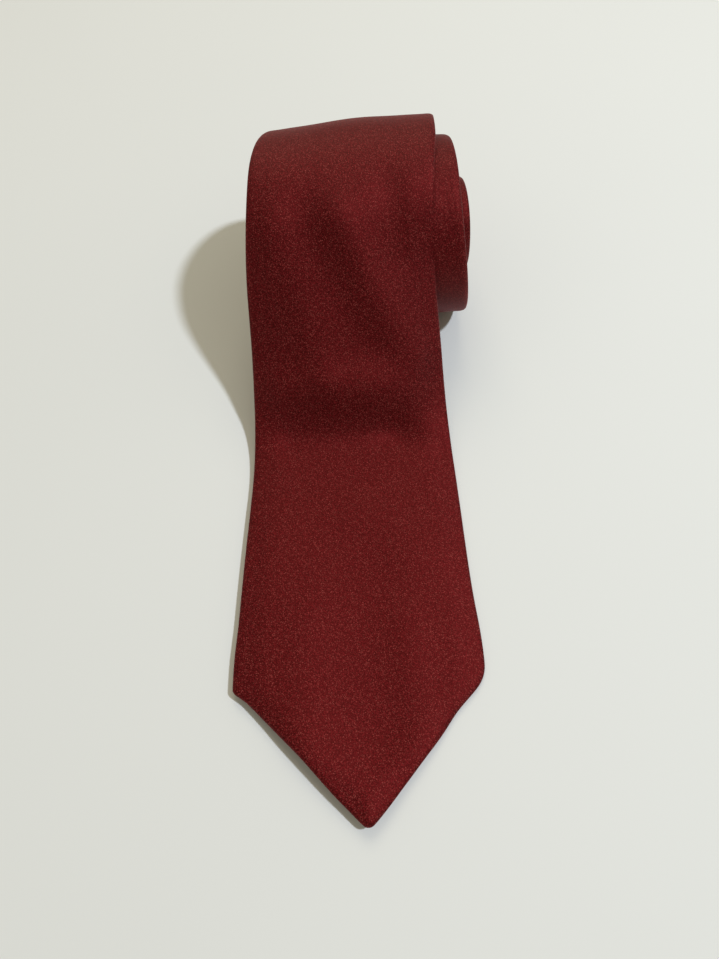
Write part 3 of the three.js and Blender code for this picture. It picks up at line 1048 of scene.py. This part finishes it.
@dataclass
class Interlining(ClothLayer):
    """The wool interlining, which gives the tie its body."""

    slot: Slot = Slot.CANVAS
    spacing: float = 2.5
    rolled_spacing: float = 2.5
    clearance: float = 1.7
    pressed_in: float = 3.0  # the shell's edges are pressed in this far below the blade's corners
    least_half: float = 0.2
    join_gap: float = 0.3
    from_tip: float = 2.5

    def half_width(self, s: float) -> float:
        """Returns half of the interlining's width at a distance along the tie."""
        inset = self.clearance + self.pressed_in * float(1 - smooth(s, 48, 64))
        return max(float(self.outline.half(s, self.outline.worn_corner_round)) - inset, self.least_half)

    def section(self, s: float) -> Section:
        """Gives the interlining's section, with rounded edges."""
        half = self.half_width(s)
        across = np.linspace(-1, 1, 25) * half
        thin = self.layers.thinning(across, half)
        rounding = np.sqrt(np.clip(1 - (np.abs(across) / half) ** 16, 0.05, 1))
        normals = np.tile([0.0, 1.0], (len(across), 1))
        return np.stack([across, -thin / 2], 1), normals, (self.layers.canvas - thin) / 2 * rounding

    def flat_width(self, s: float) -> float:
        """Returns the interlining's width."""
        return 2 * self.half_width(s)

    def build(self) -> None:
        """Makes every length of the interlining."""
        first, gap = self.outline.tip() + self.from_tip, self.join_gap / 2
        nodes = ["interlining_point", "interlining_flat", "interlining_rise"]
        self.length("interlining_blade_point", first, POINT.end, POINT, nodes[:2])
        self.length("interlining_blade_lift", LIFT.start, LIFT.end, LIFT, nodes[1:])
        self.length("interlining_blade_crown", CROWN.start, CROWN.end, CROWN, nodes[2:])
        self.length("interlining_turns", CROWN.end, CANVAS_JOIN - gap, ROLLED, ["interlining_roll"])
        last = self.outline.length - first
        self.length("interlining_core", CANVAS_JOIN + gap, last, ROLLED, ["interlining_tail"])


@dataclass
class Tipping(ClothLayer):
    """The satin lining that closes the back behind each point. It lies a little deeper in the middle than at
    the folds that hold it."""

    slot: Slot = Slot.LINING
    held: Held = Held.LAID
    rolled_spacing: float = 1.5
    width_samples: int = 200
    under_hem: float = 0.35
    least_half: float = 0.3
    off_fold: float = 0.05
    sunk: float = 0.18
    from_hem: float = 0.8
    from_tack: float = 1

    def flat_width(self, s: float) -> float:
        """Returns the width between the hems."""
        return 2 * max(self.outline.opening(s) - self.under_hem, self.least_half)

    def section(self, s: float) -> Section:
        """Gives the lining's section."""
        layers = self.layers
        share = np.linspace(-1, 1, 21)
        level = -layers.half + layers.lining / 2 + self.off_fold
        line = np.stack([share * self.flat_width(s) / 2, level + self.sunk * (1 - share**2)], 1)
        return line, np.tile([0.0, 1.0], (len(line), 1)), np.full(len(line), layers.lining / 2)

    def build(self) -> None:
        """Makes the blade's tipping, in two pieces that meet where the shell's lengths do, and the tail's."""
        hem = self.outline.hem * math.sqrt(2)
        nodes = ["blade_tipping_point", "blade_tipping_flat"]
        self.length("tipping_blade", hem + self.from_hem, POINT.end, POINT, nodes)
        end = self.outline.folds_meet - self.from_tack
        self.length("tipping_blade_top", LIFT.start, end, LIFT, nodes[1:])
        start = self.outline.length - self.outline.tail_folds_meet + self.from_tack
        end = self.outline.length - hem / 2 - self.from_hem
        self.length("tipping_tail", start, end, ROLLED, ["tail_tipping"])


@dataclass
class Stitching(Piecework):
    """The threads: the slip stitch along the back, the bar tacks, the joins and the slack loop."""

    slip_pitch: float = 9
    slip_length: float = 3.4
    slip_lean: float = 1.1
    bar_stitches: int = 5
    bar_pitch: float = 0.5
    bar_cover: float = 1.6
    join_pitch: float = 2.6
    join_reach: float = 0.55
    join_slant: float = 0.5
    join_inset: float = 1.6
    slack_radius: float = 2.0

    def arc(
        self,
        parts: MeshParts,
        start: tuple[float, float],
        end: tuple[float, float],
        depth: float,
        rise: float,
    ) -> None:
        """Adds one stitch that comes out of the cloth and goes back in.

        Args:
            parts: The mesh to add to.
            start: Distance along the tie and across it where the stitch comes out.
            end: The same where it goes in.
            depth: Level of its ends, from the middle layer.
            rise: How far its middle stands off that level; below 0 is towards the back.
        """
        t = np.linspace(0, 1, 9)
        s, across = (a + (b - a) * t for a, b in zip(start, end))
        path = self.roll.place(s, across, depth + rise * np.sin(math.pi * t))
        tube(parts, path, self.layers.thread / 2, 6)

    def thread(self, name: str, parts: MeshParts, stretch: Stretch, nodes: Sequence[str]) -> None:
        """Makes a piece of the stitches in parts, gives it its finish and attaches it."""
        stretch.attach(self.dress(parts.build(name), Slot.THREAD, nodes), self.roll)

    def slip(self, name: str, start: float, end: float, stretch: Stretch, nodes: Sequence[str]) -> None:
        """Makes the run of slip stitches between two distances along the tie."""
        parts = MeshParts()
        s = start + 1
        while s + self.slip_length < end - 0.5:
            ends = (s, -self.slip_lean), (s + self.slip_length, self.slip_lean)
            self.arc(parts, *ends, depth=0.25 - self.layers.half, rise=-0.3)
            s += self.slip_pitch
        self.thread(name, parts, stretch, nodes)

    def bar(self, name: str, at: float, stretch: Stretch, nodes: Sequence[str]) -> None:
        """Makes a bar tack: a block of stitches side by side across the meeting folds."""
        parts = MeshParts()
        half = self.outline.opening(at) + self.bar_cover
        for i in range(self.bar_stitches):
            s = at + (i - self.bar_stitches // 2) * self.bar_pitch
            self.arc(parts, (s, -half), (s, half), depth=0.3 - self.layers.half, rise=-0.34)
        self.thread(name, parts, stretch, nodes)

    def join(self, name: str, at: float, nodes: Sequence[str]) -> None:
        """Makes the stitches that close a join across the front."""
        parts = MeshParts()
        half = float(self.outline.half(at)) - self.join_inset
        for across in np.arange(-half, half, self.join_pitch):
            ends = (at - self.join_reach, across), (at + self.join_reach, across + self.join_slant)
            self.arc(parts, *ends, depth=self.layers.half - 0.32, rise=0.2)
        self.thread(name, parts, ROLLED, nodes)

    def slack(self, at: float) -> None:
        """Makes the spare loop of thread that lies on the tail's tipping."""
        turn = np.linspace(0, 2 * math.pi, 28)
        s = at - self.slack_radius * 1.25 * np.cos(turn)
        across = self.slack_radius * 0.8 * np.sin(turn) + 0.35 * np.sin(turn / 2)
        lift = 0.35 + 0.45 * turn / (2 * math.pi)
        parts = MeshParts()
        tube(parts, self.roll.place(s, across, -self.layers.half - lift), self.layers.thread / 2)
        self.thread("thread_slack_loop", parts, ROLLED, ["slip_stitch_slack"])

    def build(self) -> None:
        """Makes every thread."""
        meet = self.outline.folds_meet
        end = self.outline.length - self.outline.tail_folds_meet
        self.slip("thread_slip_lift", meet + 2, LIFT.end, LIFT, ["slip_stitch_flat", "slip_stitch_rise"])
        self.slip("thread_slip_crown", CROWN.start, CROWN.end, CROWN, ["slip_stitch_rise"])
        self.slip("thread_slip_roll", CROWN.end, end - 2, ROLLED, ["slip_stitch_roll"])
        self.join("thread_blade_neck_join", BLADE_NECK_JOIN, ["blade_neck_seam"])
        self.join("thread_neck_tail_join", NECK_TAIL_JOIN, ["neck_tail_seam"])
        self.bar("thread_tail_tack", end + 3, ROLLED, ["tail_bar_tack"])
        self.slack(end + 12)
        self.bar("thread_blade_tack", meet - 3, LIFT, ["blade_bar_tack"])


@dataclass
class BackTrim(Stitching):
    """What is sewn onto the blade's back: the keeper loop, the blank label and their stitches."""

    keeper_at: float = 200
    keeper_band: float = 14
    keeper_span: float = 50
    keeper_foot: float = 6
    keeper_rise: float = 2.6
    keeper_cloth: float = 0.6
    keeper_off_back: float = 0.3
    keeper_turned_in: float = 2
    label_at: float = 168
    label_across: float = 32
    label_along: float = 16
    label_thick: float = 0.22
    label_off_back: float = 0.21
    label_curl: float = 0.12
    inset: float = 1.5
    stitch_pitch: float = 1.9
    stitch_length: float = 1.3
    stitch_clear: float = 1.2

    def keeper_section(self, s: float) -> Section:
        """Gives the keeper's section: two feet and a low arch between them."""
        across = np.linspace(-1, 1, 41) * self.keeper_span / 2
        share = np.clip(across / (self.keeper_span / 2 - self.keeper_foot), -1, 1)
        arch = self.keeper_rise * (1 + np.cos(math.pi * share)) / 2
        level = -self.layers.half - self.keeper_off_back - self.keeper_cloth / 2
        line = np.stack([across, level - arch], 1)
        from_edge = self.keeper_band / 2 - abs(s - self.keeper_at)
        rounding = math.sqrt(min(1.0, 0.2 + from_edge / 0.5))
        return line, outward(line), np.full(len(line), self.keeper_cloth / 2 * rounding)

    def label_section(self, s: float) -> Section:
        """Gives the label's section."""
        share = np.linspace(-1, 1, 25)
        level = -self.layers.half - self.label_off_back - self.label_thick / 2
        line = np.stack([share * self.label_across / 2, level - self.label_curl * np.abs(share) ** 6], 1)
        return line, np.tile([0.0, 1.0], (len(line), 1)), np.full(len(line), self.label_thick / 2)

    def stitches(self, name: str, at: float, along: float, across: float, level: float, node: str) -> None:
        """Makes a line of short stitches along the tie, which ends at the inset from both ends.

        Args:
            name: The piece's name.
            at: Its middle along the tie.
            along: The length of what it holds.
            across: Its place across the tie.
            level: How far the outer face of what it holds is from the middle layer.
            node: The CAD node that it stands for.
        """
        parts = MeshParts()
        half = along / 2 - self.inset
        for s in np.arange(at - half, at + half - self.stitch_clear, self.stitch_pitch):
            self.arc(parts, (s, across), (s + self.stitch_length, across), depth=0.1 - level, rise=-0.28)
        self.thread(name, parts, SLOPE, [node])

    def build(self) -> None:
        """Makes the keeper loop, the label and their stitches."""
        half = self.keeper_band / 2
        ends = tuple(self.keeper_at + side * (half - x) for side in (-1, 1) for x in (0.1, 0.25, 0.45))
        strip = Strip(self.roll, self.keeper_at - half, self.keeper_at + half, 1.4, ends)
        keeper = self.dress(strip.build("keeper_band", self.keeper_section), Slot.SHELL, ["keeper_loop"])
        SLOPE.attach(keeper, self.roll)
        half = self.label_along / 2
        strip = Strip(self.roll, self.label_at - half, self.label_at + half, 1.0)
        label = self.dress(strip.build("blank_label", self.label_section), Slot.LABEL, ["care_label"])
        SLOPE.attach(label, self.roll)
        foot = (self.keeper_span - self.keeper_foot) / 2
        edge = self.label_across / 2 - self.inset
        keeper_face = self.layers.half + self.keeper_off_back + self.keeper_cloth
        label_face = self.layers.half + self.label_off_back + self.label_thick
        for side, word in ((-1, "left"), (1, "right")):
            place = self.keeper_at, self.keeper_band, side * foot, keeper_face
            self.stitches(f"thread_keeper_{word}", *place, f"keeper_tack_{word}")
            place = self.label_at, self.label_along, side * edge, label_face
            self.stitches(f"thread_label_{word}", *place, f"label_stitch_{word}")


# ---- Studio ---------------------------------------------------------------------------------


@dataclass(frozen=True)
class Lamp:
    """A round lamp: its place, diameter, power and sRGB hex colour."""

    name: str
    at: tuple[float, float, float]
    size: float
    watts: float
    colour: str

    def hang(self, aim: tuple[float, float, float]) -> None:
        """Hangs the lamp and turns it to a point."""
        data = bpy.data.lights.new(self.name, "AREA")
        data.shape, data.size, data.energy = "DISK", self.size * MM, self.watts
        data.color = linear(self.colour)[:3]
        lamp = bpy.data.objects.new(self.name, data)
        lamp.location = Vector(self.at) * MM
        lamp.rotation_euler = (Vector(aim) * MM - lamp.location).to_track_quat("-Z", "Y").to_euler()
        bpy.context.collection.objects.link(lamp)


@dataclass
class Studio:
    """A pale floor, soft light from the right and a camera that looks down along the blade."""

    camera_at: tuple[float, float, float] = (0.07, -221.1, 261.7)
    pitch: float = 65.2
    yaw: float = 1.25
    bank: float = 1.11
    lens: float = 27.03
    floor_size: float = 4000
    floor_drop: float = 0.1
    lamps_aim: tuple[float, float, float] = (0, -60, 30)
    key_lean: float = 29.2
    key_height: float = 1400
    fill: float = 0.345
    fill_colour: str = "fffae7"

    def camera(self) -> None:
        """Puts the camera in front of the point, high up."""
        pitch, yaw, bank = (math.radians(a) for a in (self.pitch, self.yaw, self.bank))
        ahead = Vector((math.sin(yaw) * math.cos(pitch), math.cos(yaw) * math.cos(pitch), -math.sin(pitch)))
        right = Vector((math.cos(yaw), -math.sin(yaw), 0))
        up = right.cross(ahead)
        banked_right = right * math.cos(bank) - up * math.sin(bank)
        banked_up = right * math.sin(bank) + up * math.cos(bank)
        camera = bpy.data.objects.new("camera", bpy.data.cameras.new("camera"))
        axes = Matrix((banked_right, banked_up, -ahead)).transposed().to_4x4()
        camera.matrix_world = Matrix.Translation(Vector(self.camera_at) * MM) @ axes
        camera.data.lens = self.lens
        camera.data.sensor_width = 36
        camera.data.clip_start = 0.01
        bpy.context.collection.objects.link(camera)
        bpy.context.scene.camera = camera

    def floor(self) -> None:
        """Lays the floor just under the tie."""
        half = self.floor_size / 2
        corners = np.array([[-half, -half, 0], [half, -half, 0], [half, half, 0], [-half, half, 0]])
        corners = (corners - (0, 0, self.floor_drop)) * MM
        parts = MeshParts()
        parts.add(corners, corners)
        parts.faces.append([0, 1, 2, 3])
        floor = parts.build("floor")
        floor.data.materials.append(PaintedBoard().material())

    def lights(self) -> None:
        """Hangs a small lamp to the right and a wide one behind the tie, and lights the room evenly."""
        reach = self.key_height * math.tan(math.radians(self.key_lean))
        Lamp("key", (reach, -110, self.key_height), 115, 18.2, "e4eeff").hang(self.lamps_aim)
        Lamp("back", (-100, 1300, 1600), 1300, 12.0, "fff6dd").hang(self.lamps_aim)
        world = bpy.data.worlds.new("room")
        world.use_nodes = True
        background = world.node_tree.nodes["Background"]
        background.inputs["Color"].default_value = linear(self.fill_colour)
        background.inputs["Strength"].default_value = self.fill
        bpy.context.scene.world = world

    def build(self) -> None:
        """Makes the studio and shows colours as they are."""
        self.camera()
        self.floor()
        self.lights()
        bpy.context.scene.view_settings.view_transform = "Standard"


def main() -> None:
    """Makes the studio and the tie."""
    logging.basicConfig(level=logging.INFO, format="%(name)s: %(message)s")
    Studio().build()
    finishes = {
        Slot.SHELL: MicrofibreCrepe().material(),
        Slot.LINING: SatinLining().material(),
        Slot.CANVAS: BrushedCanvas().material(),
        Slot.THREAD: SpunThread().material(),
        Slot.LABEL: SatinLabel().material(),
    }
    roll = Roll(Outline(), Layers())
    for assembly in (Shell, Interlining, Tipping, Stitching, BackTrim):
        assembly(roll, finishes).build()
        log.info("%s done", assembly.__name__)


if __name__ == "__main__":
    main()
